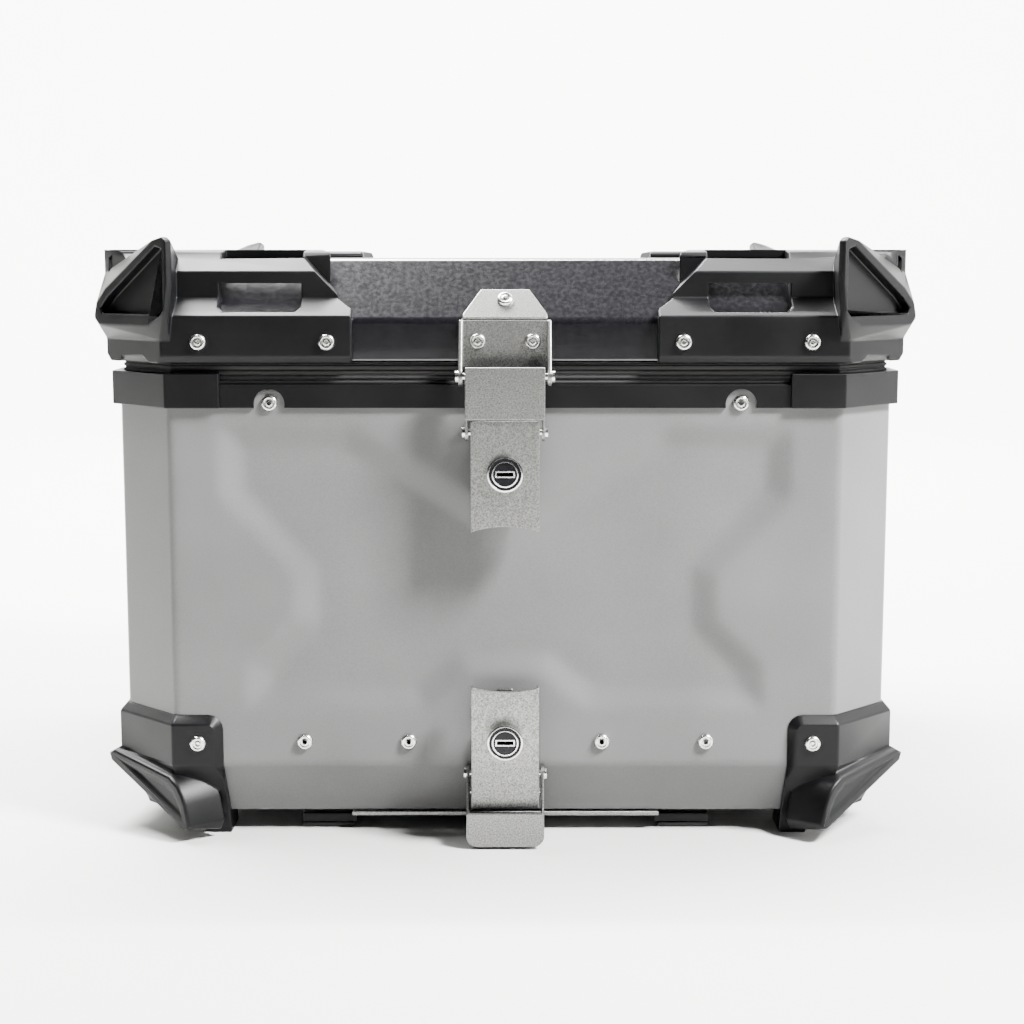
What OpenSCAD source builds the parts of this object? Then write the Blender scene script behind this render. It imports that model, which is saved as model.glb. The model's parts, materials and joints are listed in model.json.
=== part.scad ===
// Motorcycle top case: an aluminium box with a hinged lid, plastic corner guards,
// a two-stage lid latch, a base latch and the rack plate that the case stands on.
// X runs across, Y runs from the latch side to the hinge side, Z is up, in millimetres.
// The origin is on the rack plate's underside, at the middle of its bolt pattern.

/* [Body] */
// Width of the aluminium body across its side walls
body_w = 418; // [350:1:510]
// Depth of the aluminium body from front wall to rear wall
body_d = 340; // [290:1:410]
// Height of the rim collar's top above the ground
rim_h = 246; // [206:1:300]
// Width of the flat across each bevelled corner, along X and along Y
corner = 32; // [26:1:38]
// Thickness of the body's sheet
sheet = 1.5; // [1.2:0.1:2]
// Height of the fold where the walls start to lean in
fold_h = 41; // [38:1:44]
// Height of the body's underside
belly_h = 11; // [11:0.5:12]
// How far the walls lean in below the fold
lean = 13; // [10:1:15]
// Width of the flange that turns in under the floor pan
belly_flange = 16; // [10:1:24]
// Height of the floor pan's rim, riveted inside the walls
pan_h = 62; // [58:1:66]

/* [Pressed panels] */
// Depth of the pressed panels
bead_depth = 4.5; // [2:0.5:6]
// Width of the sloped border around a panel
bead_band = 13.5; // [9:0.5:16]
// Distance from a corner fold to the panel's widest line
bead_margin = 25; // [20:1:36]
// Distance from the rim collar to the panel's top line
bead_drop = 8.5; // [8:0.5:14]
// Distance from the fold to the panel's bottom line
bead_rise = 29; // [25:1:40]
// Height of the panel's narrow waist
bead_waist_h = 22; // [16:1:30]

/* [Rim] */
// Height of the rim collar
collar_h = 12.6; // [11:0.2:16]
// How far the collar stands out from the walls
collar_out = 2; // [1:0.2:3]
// How far the corner caps stand out from the walls
cap_out = 3.8; // [3.4:0.2:5]
// Length of a corner cap from the side wall
cap_len = 59; // [50:1:70]
// Height of a corner cap above the collar
cap_rise = 5.5; // [3:0.5:7]
// Width of the rubber seal
seal_w = 7; // [5:0.5:9]

/* [Lid] */
// Height from the rim collar to the lid's lower edge
lid_gap = 11; // [9:0.5:13]
// Height of the lid's upright skirt
lid_skirt = 22.5; // [20:0.5:26]
// Height of the lid's sloped shoulder
lid_rise = 32; // [28:1:40]
// How far the shoulder leans in
lid_inset = 27; // [24:1:32]
// Depth of the panel pressed into the lid's top
lid_dish = 2; // [1:0.5:3]

/* [Lid corner guards] */
// How far the guards stand out from the skirt
guard_out = 6; // [5:0.5:8]
// Length of a guard's front wing from the side wall
guard_wing = 129; // [115:1:140]
// Length of a guard's side wing from the front wall
guard_side = 95; // [85:1:110]
// Width of the finger opening under the grip bar
grip_w = 43; // [36:1:46]
// Distance from the side wall to the finger opening
grip_from = 59; // [55:1:62]
// Height of the guards above the lid's flat top
guard_crown = 4.5; // [3:0.5:6]

/* [Base corner guards] */
// Height of the base corner guards
foot_h = 68; // [60:1:74]
// How far they stand out from the body
foot_out = 4.5; // [3.5:0.5:6]
// Their length along each wall from the corner
foot_wing = 57; // [50:1:66]

/* [Latches] */
// Width of the latch levers
lever_w = 36; // [32:1:40]
// Thickness of the latch plates
plate = 1.5; // [1.2:0.1:2]
// Distance between the top link's two pivots
link_len = 29; // [27:0.5:31]
// Length of the top lever below its pivot
lever_len = 52; // [46:1:58]
// Radius of the pivot pins
pin_r = 2; // [1.6:0.1:2.4]
// Radial running clearance of every pin and lock plug
run_fit = 0.05; // [0.02:0.01:0.09]
// Radius of the lock plugs
plug_r = 6; // [5:0.25:6.5]
// Length of the lock cams from the plug's axis
cam_len = 12; // [11.5:0.5:12.5]

/* [Hinges] */
// Distance from the middle to each hinge's middle
hinge_x = 50; // [44:1:54]
// Width of a hinge
hinge_w = 40; // [36:1:44]
// Radius of the hinge pins
hinge_pin_r = 2; // [1.5:0.25:2.5]

/* [Rivets] */
// Radius of a rivet head
head_r = 4.4; // [3.5:0.1:5]
// Height of a rivet head
head_h = 2.1; // [1.5:0.1:2.5]
// Radius of a rivet shank
shank_r = 2; // [1.6:0.1:2.4]

/* [Rack plate] */
// Width of the rack plate
rack_w = 224; // [200:1:250]
// Depth of the rack plate
rack_d = 250; // [220:1:280]
// Spacing of the rack bolts across
bolt_x = 120; // [90:1:130]
// Spacing of the rack bolts front to back
bolt_y = 110; // [90:1:120]
// Radius of the rack bolt holes
bolt_r = 3.3; // [2.6:0.1:4.3]

/* [Hidden] */

$fn = 48;
eps = 0.01;                 // overlap of solids that are joined into one piece
gap = 0.3;                  // free space between pieces that pass or face each other
ring_r = 2.3;               // inner radius of a rivet head's domed ring
FRONT = 0;
RIGHT = 1;
REAR = 2;
LEFT = 3;

hw = body_w / 2;
hd = body_d / 2;
yf = -hd;                                // plane of the body's front wall
collar_z = rim_h - collar_h;
wall_top = rim_h - 2;
lid_z = rim_h + lid_gap;                 // lid's lower edge
slope_z = lid_z + lid_skirt;             // start of the sloped shoulder
top_z = slope_z + lid_rise;              // lid's flat top
slope_a = atan2(lid_rise, lid_inset);
crown_z = top_z + guard_crown;           // top of the lid guards

// latch side: each distance is measured out from the front wall
pivot_out = 11;                          // pivots of the link
up_z = lid_z - 6.4;                      // link's upper pivot
low_z = up_z - link_len;                 // lever's pivot on the link
nose_z = low_z + 6.4;                    // top of the lever and of its noses
lip_z = nose_z + 1.5;                    // underside of the keeper's lips
top_lock_z = low_z - 21;
lever_out = 17.5;                        // outer face of the top lever
link_w = lever_w + 5.5;
ear_x = link_w / 2 + 1.45;               // inner face of the lid bracket's ears
ear_t = 2;
base_pivot = [yf - 8, belly_h + 17];     // lever pivot on the body
hook_pivot = [yf - 4, belly_h + 26];     // hook pivot on the lever
base_lever_out = 20;                     // outer face of the base lever
base_lock_z = fold_h + 18.6;
base_lever_top = fold_h + 46.7;
hook_z = 1.5;                            // underside of the hook
hook_w = lever_w + 5.4;
tail_out = 6.5;                          // inner end of a lock barrel, out from the wall
cam_back = plate + 0.45;                 // thickness of a cam with the play either side of it
cam_w = 8;
barrel_r = plug_r + 2;
nut_r = barrel_r + 3;

hinge_y = hd + 8;
hinge_z = lid_z - 6;
knuckle_r = hinge_pin_r + 1.7;

// ---------- shared geometry ----------

// corner points of the body's plan, moved out by t
function plan(t) = let (x = hw + t, y = hd + t, c = corner + t * (2 - sqrt(2)))
    [[x, -y + c], [x, y - c], [x - c, y], [-x + c, y],
     [-x, y - c], [-x, -y + c], [-x + c, -y], [x - c, -y]];

function unit(v) = v / norm(v);
function left_normal(a, b) = let (d = unit(b - a)) [-d[1], d[0]];
// outline P, listed anticlockwise, moved inwards by d with its corners kept sharp
function inset(P, d) = let (n = len(P)) [for (i = [0:n - 1])
    let (a = left_normal(P[(i + n - 1) % n], P[i]), b = left_normal(P[i], P[(i + 1) % n]))
    P[i] + (a + b) * d / (1 + a * b)];

// solid through a stack of outlines: each entry is [outline, height]
module stack(levels) {
    n = len(levels[0][0]);
    m = len(levels);
    polyhedron(
        points = [for (l = levels) for (p = l[0]) [p[0], p[1], l[1]]],
        faces = concat(
            [[for (i = [0:n - 1]) i]],
            [for (k = [0:m - 2]) for (i = [0:n - 1])
                [k * n + i, (k + 1) * n + i, (k + 1) * n + (i + 1) % n, k * n + (i + 1) % n]],
            [[for (i = [n - 1:-1:0]) (m - 1) * n + i]]));
}

// prism of the body's plan
module prism(t, z0, z1) translate([0, 0, z0]) linear_extrude(z1 - z0) polygon(plan(t));
module ring(t_out, t_in, z0, z1) difference() {
    prism(t_out, z0, z1);
    prism(t_in, z0 - 1, z1 + 1);
}

function half(side) = side % 2 == 0 ? hd : hw;
// stands children on a wall, with local Z pointing out of it
module on_wall(side, u, z, out = 0)
    rotate([0, 0, 90 * side]) translate([u, -half(side) - out, z]) rotate([90, 0, 0]) children();
// copies a front left corner piece to a corner of the case
module at_corner(x_side, y_side)
    mirror([x_side > 0 ? 1 : 0, 0, 0]) mirror([0, y_side > 0 ? 1 : 0, 0]) children();
module both_sides() {
    children();
    mirror([1, 0, 0]) children();
}
// profile in the Y-Z plane, extruded across from x0 to x1
module across(x0, x1) translate([x0, 0, 0]) rotate([90, 0, 90]) linear_extrude(x1 - x0) children();
// profile in the X-Z plane, extruded from y0 back to y1
module along(y0, y1) translate([0, y1, 0]) rotate([90, 0, 0]) linear_extrude(y1 - y0) children();
module bar_x(r, x0, x1, y, z) translate([x0, y, z]) rotate([0, 90, 0]) cylinder(r = r, h = x1 - x0);
module bar_y(r, y0, y1, x, z) translate([x, y1, z]) rotate([90, 0, 0]) cylinder(r = r, h = y1 - y0);
module box(lo, hi) translate(lo) cube(hi - lo);

// blind rivet: the head stands on the local XY plane, the shank goes down through the grip;
// inside the head's domed ring is a groove, then the hollow end of the pin
module rivet(grip) rotate_extrude() polygon(concat(
    [[0, -grip - 1.4], [shank_r + 1, -grip - 1.4], [shank_r + 1, -grip], [shank_r, -grip],
     [shank_r, 0], [head_r, 0], [head_r, head_h * 0.3]],
    [for (a = [20:20:80]) [ring_r + (head_r - ring_r) * cos(a), head_h * (0.3 + 0.7 * sin(a))]],
    [[ring_r, head_h], [ring_r - 0.2, head_h * 0.45], [ring_r - 0.5, head_h * 0.45],
     [ring_r - 0.7, head_h * 0.8], [0.9, head_h * 0.8], [0.8, head_h * 0.2], [0, head_h * 0.2]]));
module rivet_hole(deep = 40) translate([0, 0, -deep]) cylinder(r = shank_r + 0.1, h = deep + 5);

// ---------- body ----------

function bead_outline(w, v, top, low) = let (
        mid = (top + low) / 2 - 15.5,
        half_line = [[19, low + 19], [43, low], [w - 13, low], [w - 13, low + 25],
            [w - 39, mid - bead_waist_h / 2], [w - 39, mid + bead_waist_h / 2],
            [w, top - 40], [w, top], [v, top]])
    concat(half_line, [[0, top - v * 0.585]],
        [for (i = [len(half_line) - 1:-1:0]) [-half_line[i][0], half_line[i][1]]]);

module bead(side, grow = 0) {
    flat = (side % 2 == 0 ? hw : hd) - corner;
    w = flat - bead_margin;
    v = w - (side == FRONT ? 70 : 60);
    P = bead_outline(w, v, collar_z - bead_drop, fold_h + bead_rise);
    over = 1 - grow;
    on_wall(side, 0, 0) stack([
        [inset(P, bead_band - grow * 0.6), -bead_depth - grow],
        [inset(P, -over * bead_band / bead_depth - grow * 0.6), over]]);
}

module body_block(t, z0, z1)
    stack([[plan(t - lean * (fold_h - z0) / (fold_h - belly_h)), z0], [plan(t), fold_h], [plan(t), z1]]);

module floor_rivet_places() {
    for (side = [FRONT, REAR]) for (u = [-108, -52, 52, 108] * (hw - corner) / 177)
        on_wall(side, u, fold_h + 12.3) children();
    for (side = [LEFT, RIGHT]) for (u = [-70, 0, 70] * (hd - corner) / 138)
        on_wall(side, u, fold_h + 12.3) children();
}
module collar_rivet_places() {
    for (side = [FRONT, REAR]) for (s = [-1, 1]) on_wall(side, s * (hw - 85), collar_z + 2.6) children();
    for (side = [LEFT, RIGHT]) for (s = [-1, 1]) on_wall(side, s * (hd - 100), collar_z + 2.6) children();
}
module base_guard_rivet_places(out) {
    for (side = [FRONT, REAR]) for (s = [-1, 1]) on_wall(side, s * (hw - 44), fold_h + 12.3, out) children();
    for (side = [LEFT, RIGHT]) for (s = [-1, 1]) on_wall(side, s * (hd - 44), fold_h + 12.3, out) children();
}
module keeper_rivet_places(out) for (s = [-1, 1]) on_wall(FRONT, s * 9, top_lock_z - 12, out) children();
module hinge_body_rivet_places(out) for (h = [-1, 1]) for (s = [-1, 0, 1])
    on_wall(REAR, h * hinge_x + s * 12, collar_z - (s == 0 ? 12 : 24), out) children();
module base_latch_rivet_places(out)
    for (s = [-1, 1]) on_wall(FRONT, s * 9, base_lock_z + 17, out) children();

module body_shell() color("#a9a9a7") difference() {
    body_block(0, belly_h, wall_top);
    difference() {
        body_block(-sheet, belly_h + sheet, wall_top + 1);
        for (side = [FRONT:LEFT]) bead(side, sheet);
    }
    for (side = [FRONT:LEFT]) bead(side);
    prism(-lean - belly_flange, belly_h - 1, belly_h + sheet + 1);
    floor_rivet_places() rivet_hole(10);
    collar_rivet_places() rivet_hole(10);
    base_guard_rivet_places(0) rivet_hole(10);
    keeper_rivet_places(0) rivet_hole(10);
    hinge_body_rivet_places(0) rivet_hole(10);
    base_latch_rivet_places(0) rivet_hole(10);
}

// tray that closes the bottom: it sits on the turned-in flange and rises inside the walls
module floor_pan() color("#8f9092") difference() {
    body_block(-sheet, belly_h + sheet, pan_h);
    body_block(-2 * sheet, belly_h + 2 * sheet, pan_h + 1);
    for (side = [FRONT:LEFT]) bead(side, sheet + gap);
    floor_rivet_places() rivet_hole(10);
    base_guard_rivet_places(0) rivet_hole(10);
}

module rim_collar() color("#26272a") difference() {
    ring(collar_out, -sheet - 3.5, collar_z, rim_h);
    ring(0, -sheet, collar_z - 1, wall_top);
    for (side = [FRONT, REAR]) for (s = [-1, 1])
        on_wall(side, s * (hw - 85), collar_z + 2, -eps) cylinder(r = 8.2, h = 10);
    for (side = [LEFT, RIGHT]) for (s = [-1, 1])
        on_wall(side, s * (hd - 100), collar_z + 2, -eps) cylinder(r = 8.2, h = 10);
    collar_rivet_places() rivet_hole(10);
}

// front left corner cap: it wraps the collar and stands above it
module rim_cap() difference() {
    union() {
        ring(cap_out, collar_out, collar_z, rim_h);
        ring(cap_out, -1.8, rim_h, rim_h + cap_rise);
    }
    box([-hw + cap_len, -hd - 20, collar_z - 5], [hw + 20, hd + 20, rim_h + 20]);
    box([-hw - 20, -hd + cap_len, collar_z - 5], [hw + 20, hd + 20, rim_h + 20]);
}
module rim_cap_at(x_side, y_side) color("#222326") at_corner(x_side, y_side) rim_cap();

module rim_seal() color("#161617") {
    top = lid_z - gap;
    ribs = 4;
    pitch = (top - rim_h) / ribs;
    difference() {
        union() {
            ring(-3, -2.2 - seal_w, rim_h, top);
            for (i = [0:ribs - 1])
                ring(-2.2, -2.2 - seal_w / 2, rim_h + i * pitch, rim_h + i * pitch + pitch * 0.55);
        }
        prism(-2.2 - seal_w, rim_h - 1, top + 1);
    }
}

// ---------- base corner guards, front left ----------

fin_turn = 40;                           // the bumper fin faces this far round the corner
// upright plane at (x, y): local X runs back round the corner, local Y up, local Z outwards
module fin_plane(x, y)
    translate([x, y, 0]) rotate([0, 0, -fin_turn]) rotate([90, 0, 0]) mirror([1, 0, 0]) children();

// wall outline of a guard, seen square on: u runs from the side wall towards the middle
function foot_outline(start, low) = concat(
    [[start - 20, low], [start + foot_wing + 2.5, low], [start + foot_wing + 2.5, low + 10],
     [start + foot_wing, fold_h - 1]],
    [for (a = [0:22.5:90]) [start + foot_wing - foot_round * (1 - cos(a)), foot_h - foot_round * (1 - sin(a))]],
    [[start - 20, foot_h]]);
foot_round = 8;
foot_bevel = 4.5;                        // width of the bevel down to the wall
// a wing of the guard: it stands on the wall with a bevelled edge
module foot_wing_block(side, start, low) on_wall(side, 0, 0) mirror([side == LEFT ? 1 : 0, 0, 0]) stack([
    [foot_outline(start, low), -corner - 3], [foot_outline(start, low), 0.5],
    [inset(foot_outline(start, low), foot_bevel), foot_out + eps]]);

module base_guard() {
    fin = [[0, 8.5], [59.5, 36], [61, 39.5], [57, 41.5], [11, 34.5], [4.5, 30.5], [1, 26], [-1.5, 21], [-4, 11], [-3, 9]];
    dish_rim = [[-0.5, 11.5], [54.5, 38.3], [12, 32], [5.5, 28], [2.5, 24], [0, 19.5]];
    dish_floor = [[3, 16.5], [40, 34], [15, 29.5], [9.5, 26.5], [6.5, 23], [4.5, 20]];
    difference() {
        union() {
            intersection() {
                stack([[plan(foot_out - lean), 0], [plan(foot_out - lean), belly_h],
                    [plan(foot_out), fold_h], [plan(foot_out), foot_h - foot_bevel], [plan(0.5), foot_h]]);
                union() {
                    difference() {
                        foot_wing_block(FRONT, -hw, -10);
                        // the foot is a short leg beside the bumper fin
                        box([-hw - 30, -hd - 30, -20], [-hw + 45, -hd + corner + 30, belly_h - 1]);
                    }
                    foot_wing_block(LEFT, -hd, belly_h + 10);
                }
            }
            // bumper fin: a thick pad with a dished face, wider where it joins the corner
            difference() {
                fin_plane(-hw + 36, -hd - 12) stack([[inset(fin, -5), -22], [inset(fin, -1), -2], [fin, 0]]);
                fin_plane(-hw + 36, -hd - 12) stack([[dish_floor, -1.3], [dish_rim, 0.2]]);
            }
        }
        body_block(0, belly_h, foot_h + 20);
        // the foot is hollow behind its outer wall
        prism(-lean - belly_flange - 4, -1, belly_h + 1);
        base_guard_rivet_places(foot_out) rivet_hole(20);
    }
}
module base_guard_at(x_side, y_side) color("#26272a") at_corner(x_side, y_side) base_guard();

// ---------- lid ----------

module lid_block(t, lift = 0)
    stack([[plan(t), lid_z - lift], [plan(t), slope_z], [plan(t - lid_inset), top_z]]);

module latch_bracket_rivet_places(out) {
    for (s = [-1, 1]) on_wall(FRONT, s * 14.4, lid_z + 11.3, out) children();
    translate([0, yf, slope_z]) rotate([slope_a, 0, 0]) translate([0, 12.3, out]) children();
}
module lid_guard_rivet_places(out) {
    for (side = [FRONT, REAR]) for (s = [-1, 1]) for (d = [49, 116])
        on_wall(side, s * (hw - d), lid_z + 11.2, out) children();
    for (side = [LEFT, RIGHT]) for (s = [-1, 1]) for (d = [49, 82])
        on_wall(side, s * (hd - d), lid_z + 11.2, out) children();
}
module hinge_lid_rivet_places(out) for (h = [-1, 1]) for (s = [-1, 1])
    on_wall(REAR, h * hinge_x + s * 12, lid_z + 13, out) children();

module lid_shell() color("#2b2a2e") difference() {
    inner_top = top_z - sheet - lid_dish;
    inner_inset = (inner_top - slope_z) / tan(slope_a) + sheet / sin(slope_a);
    lid_block(0);
    stack([[plan(-sheet), lid_z - 1], [plan(-sheet), slope_z], [plan(-inner_inset), inner_top]]);
    stack([[plan(-lid_inset - 26), top_z - lid_dish], [plan(-lid_inset - 20), top_z + 1]]);
    latch_bracket_rivet_places(0) rivet_hole(8);
    lid_guard_rivet_places(0) rivet_hole(10);
    hinge_lid_rivet_places(0) rivet_hole(10);
}

// frame inside the lid's edge: it presses on the seal, and its lip drops inside the seal
module lid_frame() color("#1d1d1f") {
    ring(-sheet, -13, lid_z, lid_z + 6);
    ring(-2.2 - seal_w - 1, -13, lid_z - 7, lid_z + eps);
}

// ---------- lid corner guards, front left ----------

module ear_plane() fin_plane(-hw + 35, -hd - 16) translate([0, lid_z + 19.5, 0]) children();

module lid_guard() {
    g = guard_out;
    x_in = -hw + guard_wing;
    face_top = lid_z + 24.6;
    sill_top = lid_z + 34;
    bar_low = sill_top + 7;
    bar_top = sill_top + 13.5;
    bar_y = yf + 6;
    bar_back = yf + 15;
    rail_y = yf + 31;
    ear = [[0, 22], [2, 8], [15, 0], [56, 0], [60, 4], [58, 11], [50, 19], [10, 44.5], [3, 46], [0, 44]];
    pocket = [[3.6, 9], [6.5, 6], [53, 6], [54.5, 9], [48.5, 14.5], [8.5, 41], [3.6, 39.5]];
    x0 = -hw + grip_from;
    x1 = x0 + grip_w;
    difference() {
        union() {
            intersection() {
                union() {
                    // front wing: upright face, sill, grip bar and the rail on the lid's edge
                    across(-hw - 20, x_in + 1) polygon([
                        [yf - g + 2.5, lid_z], [yf - g, lid_z + 3.5], [yf - g, face_top],
                        [bar_y, sill_top], [bar_y, bar_top], [bar_back, bar_top + 7],
                        [bar_back + 3, crown_z - 1], [rail_y, crown_z], [rail_y + 11, crown_z],
                        [rail_y + 13, crown_z - 2], [rail_y + 13, top_z - 20], [yf + 2, lid_z]]);
                    // side wing: a full height wall
                    along(yf + 20, yf + guard_side) polygon([
                        [-hw - g + 2.5, lid_z], [-hw - g, lid_z + 3.5], [-hw - g, crown_z - 4],
                        [-hw - g + 4, crown_z], [-hw + 26, crown_z], [-hw + 26, lid_z + 20],
                        [-hw + 3, lid_z]]);
                }
                prism(g, lid_z, crown_z + 5);
                // plan of the guard with its slanted inner end
                translate([0, 0, lid_z - 1]) linear_extrude(80) polygon([
                    [x_in, -hd - 20], [x_in, yf - 1], [x_in - 8, bar_y], [x_in - 18, rail_y],
                    [x_in - 18, rail_y + 13],
                    [-hw + 38, rail_y + 13], [-hw + 26, rail_y + 25], [-hw + 26, yf + guard_side - 8],
                    [-hw + 18, yf + guard_side], [-hw - 20, yf + guard_side], [-hw - 20, -hd - 20]]);
            }
            // the corner below the ear
            intersection() {
                stack([[plan(g - 2.5), lid_z], [plan(g), lid_z + 3.5], [plan(g), slope_z]]);
                box([-hw - g, -hd - g, lid_z], [-hw + corner + 8, -hd + corner + 8, slope_z]);
            }
            // corner ear, joined back to the guard's bevelled corner
            hull() {
                ear_plane() translate([0, 0, -4]) linear_extrude(4) polygon(ear);
                intersection() {
                    prism(g, lid_z + 8, slope_z + 24);
                    box([-hw - g, -hd - g, lid_z + 12], [-hw + 34, -hd + 34, slope_z + 24]);
                }
            }
        }
        lid_block(gap, 10);
        // blind pocket in the ear
        ear_plane() translate([0, 0, -6]) linear_extrude(10) polygon(pocket);
        // the grip bar's inner end slopes down to the sill
        along(yf - g - 10, bar_back + 1) polygon([[x1 + 1, crown_z + 10], [x1 + 1, bar_top + 7],
            [x_in - 5, sill_top - 1], [x_in + 20, sill_top - 1], [x_in + 20, crown_z + 10]]);
        // finger opening: in through the sill, up behind the bar
        intersection() {
            across(x0, x1) polygon([[yf - g - 10, face_top + 2], [yf - g - 10, bar_low], [bar_y, bar_low],
                [bar_back, bar_low + 8.5], [bar_back, crown_z + 10], [rail_y, crown_z + 10],
                [rail_y, slope_z], [yf, slope_z - 1], [yf - 2, face_top + 2]]);
            along(yf - g - 10, rail_y + 1) polygon([[x0, crown_z + 10], [x0, face_top + 4.4], [x0 + 2.4, face_top + 2],
                [x0 + 2.4, slope_z - 2], [x1 - 2.4, slope_z - 2], [x1 - 2.4, face_top + 2],
                [x1, face_top + 4.4],
                [x1, crown_z + 10]]);
        }
        // hollow side wing
        along(yf + 24, yf + guard_side - 3) polygon([[-hw - g + 3, lid_z + 28], [-hw - g + 3, crown_z - 4.5],
            [-hw - g + 5, crown_z - 3], [-hw + 23, crown_z - 3], [-hw + 23, lid_z + 45], [-hw, lid_z + 24]]);
        lid_guard_rivet_places(g) rivet_hole(20);
    }
}
module lid_guard_at(x_side, y_side) color("#232427") at_corner(x_side, y_side) lid_guard();

// ---------- lid latch ----------

module disc(r, y, z) translate([y, z]) circle(r = r);

module latch_bracket() color("#c9c9c9") difference() {
    union() {
        box([-ear_x - eps, yf - plate, lid_z - 1.8], [ear_x + eps, yf, slope_z]);
        translate([0, yf, slope_z]) rotate([slope_a, 0, 0]) linear_extrude(plate) polygon([
            [-ear_x, 0], [ear_x, 0], [ear_x, 3], [12.8, 19.5], [-12.8, 19.5], [-ear_x, 3]]);
        both_sides() across(ear_x, ear_x + ear_t) hull() {
            disc(5, yf - pivot_out, up_z);
            polygon([[yf - plate, lid_z], [yf, lid_z + 0.1], [yf, slope_z], [yf - plate, slope_z]]);
        }
    }
    both_sides() bar_x(pin_r + run_fit, ear_x - 5, ear_x + 10, yf - pivot_out, up_z);
    latch_bracket_rivet_places(plate) rivet_hole(10);
}

// short pin with a round head outside x1
module stub_pin(x0, x1, y, z) {
    bar_x(pin_r, x0, x1 + 0.8, y, z);
    bar_x(pin_r + 1.2, x1 + 0.05, x1 + 1.6, y, z);
}

module link_upper_pins() color("#d0d0d0")
    both_sides() stub_pin(link_w / 2 - plate - 1.6, ear_x + ear_t, yf - pivot_out, up_z);

module top_link() color("#c4c4c4") {
    y_out = yf - lever_out - plate - 0.5;
    arm = link_w / 2;
    plate_low = nose_z + 0.5;
    difference() {
        union() {
            box([-arm, y_out, plate_low], [arm, y_out + plate, up_z + 5.2]);
            both_sides() across(arm - plate, arm) union() {
                hull() {
                    disc(4.6, yf - pivot_out, up_z);
                    disc(4.6, yf - pivot_out, low_z);
                }
                polygon([[y_out, plate_low], [yf - pivot_out, plate_low],
                    [yf - pivot_out, up_z + 4.4], [y_out, up_z + 5.2]]);
            }
        }
        both_sides() for (z = [up_z, low_z])
            bar_x(pin_r + run_fit, arm - 5, arm + 5, yf - pivot_out, z);
    }
}

module link_lower_pins() color("#d0d0d0")
    both_sides() stub_pin(lever_w / 2 - plate - 1.5, link_w / 2, yf - pivot_out, low_z);

module top_lever() color("#b4b4b3") {
    y_out = yf - lever_out;
    w = lever_w / 2;
    low = low_z - lever_len;
    dip = 3;
    dip_r = (w * w + dip * dip) / (2 * dip);
    difference() {
        union() {
            box([-w, y_out, low], [w, y_out + plate, nose_z]);
            both_sides() across(w - plate, w) union() {
                polygon([[y_out, low], [y_out + 5, low], [y_out + 10, low + 6],
                    [y_out + 10, low_z], [y_out, low_z + 4]]);
                hull() {
                    disc(4.6, yf - pivot_out, low_z);
                    polygon([[y_out, low_z - 4], [y_out + 1, low_z - 4], [y_out + 1, low_z + 4], [y_out, low_z + 4]]);
                }
            }
            // the two noses that pull the lid down on the keeper
            both_sides() box([10, y_out + plate - eps, nose_z - 4.4], [15, yf - 6.5, nose_z]);
        }
        bar_y(dip_r, y_out - 5, y_out + 20, 0, low + dip - dip_r);
        both_sides() bar_x(pin_r + run_fit, w - 5, w + 5, yf - pivot_out, low_z);
        bar_y(barrel_r + 0.1, y_out - 5, y_out + 5, 0, top_lock_z);
    }
}

// plate on the front wall: lips above the lever's noses, and a staple for the lock's cam
module cam_staple(z, out) {
    box([cam_len + 0.6, yf - out, z - 4.6], [cam_len + 2.1, yf - eps, z + 4.6]);
    box([barrel_r + 0.8, yf - out, z - 4.6], [cam_len + 2.1, yf - out + plate, z + 4.6]);
}
module latch_keeper() color("#a8a8a8") difference() {
    union() {
        box([-16, yf - plate, top_lock_z - 19], [16, yf, lip_z + plate]);
        both_sides() box([9.5, yf - 6.2, lip_z], [15.5, yf - eps, lip_z + plate]);
        cam_staple(top_lock_z, tail_out + 1.8);
    }
    keeper_rivet_places(plate) rivet_hole(10);
}

// ---------- locks: the barrel's bezel stands on a lever's outer face ----------

module lock_barrel(face, bezel, z) difference() {
    union() {
        bar_y(barrel_r, yf - face - eps, yf - tail_out, 0, z);
        bar_y(barrel_r + 1.5, yf - face - bezel, yf - face, 0, z);
    }
    bar_y(plug_r + run_fit, yf - face - bezel - 5, yf, 0, z);
}
module lock_nut(face, z) difference() {
    translate([0, yf - face + plate + 3, z]) rotate([90, 0, 0]) cylinder(r = nut_r, h = 3, $fn = 6);
    bar_y(barrel_r + 0.05, yf - face, yf, 0, z);
}
module lock_plug(face, bezel, z) difference() {
    union() {
        bar_y(plug_r, yf - face - bezel + 0.8, yf - tail_out, 0, z);
        box([-2.5, yf - tail_out - eps, z - 2.5], [2.5, yf - tail_out + cam_back - 0.05, z + 2.5]);
    }
    box([-4.2, yf - face - bezel, z - 0.9], [4.2, yf - face - bezel + 7, z + 0.9]);
    bar_y(1.5, yf - tail_out - 5, yf, 0, z);
}
module lock_cam(z) difference() {
    hull() {
        bar_y(4.6, yf - tail_out + 0.2, yf - tail_out + 0.2 + plate, 0, z);
        box([-cam_w / 2, yf - tail_out + 0.2, z + cam_len - 3],
            [cam_w / 2, yf - tail_out + 0.2 + plate, z + cam_len - 0.7]);
    }
    box([-2.55, yf - tail_out - 1, z - 2.55], [2.55, yf, z + 2.55]);
}
module cam_screw(z) {
    bar_y(1.4, yf - tail_out - 4, yf - tail_out + 2, 0, z);
    bar_y(3.4, yf - tail_out + cam_back, yf - tail_out + cam_back + 1.25, 0, z);
}
top_bezel = 4;
base_bezel = 8;

// ---------- base latch ----------

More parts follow.
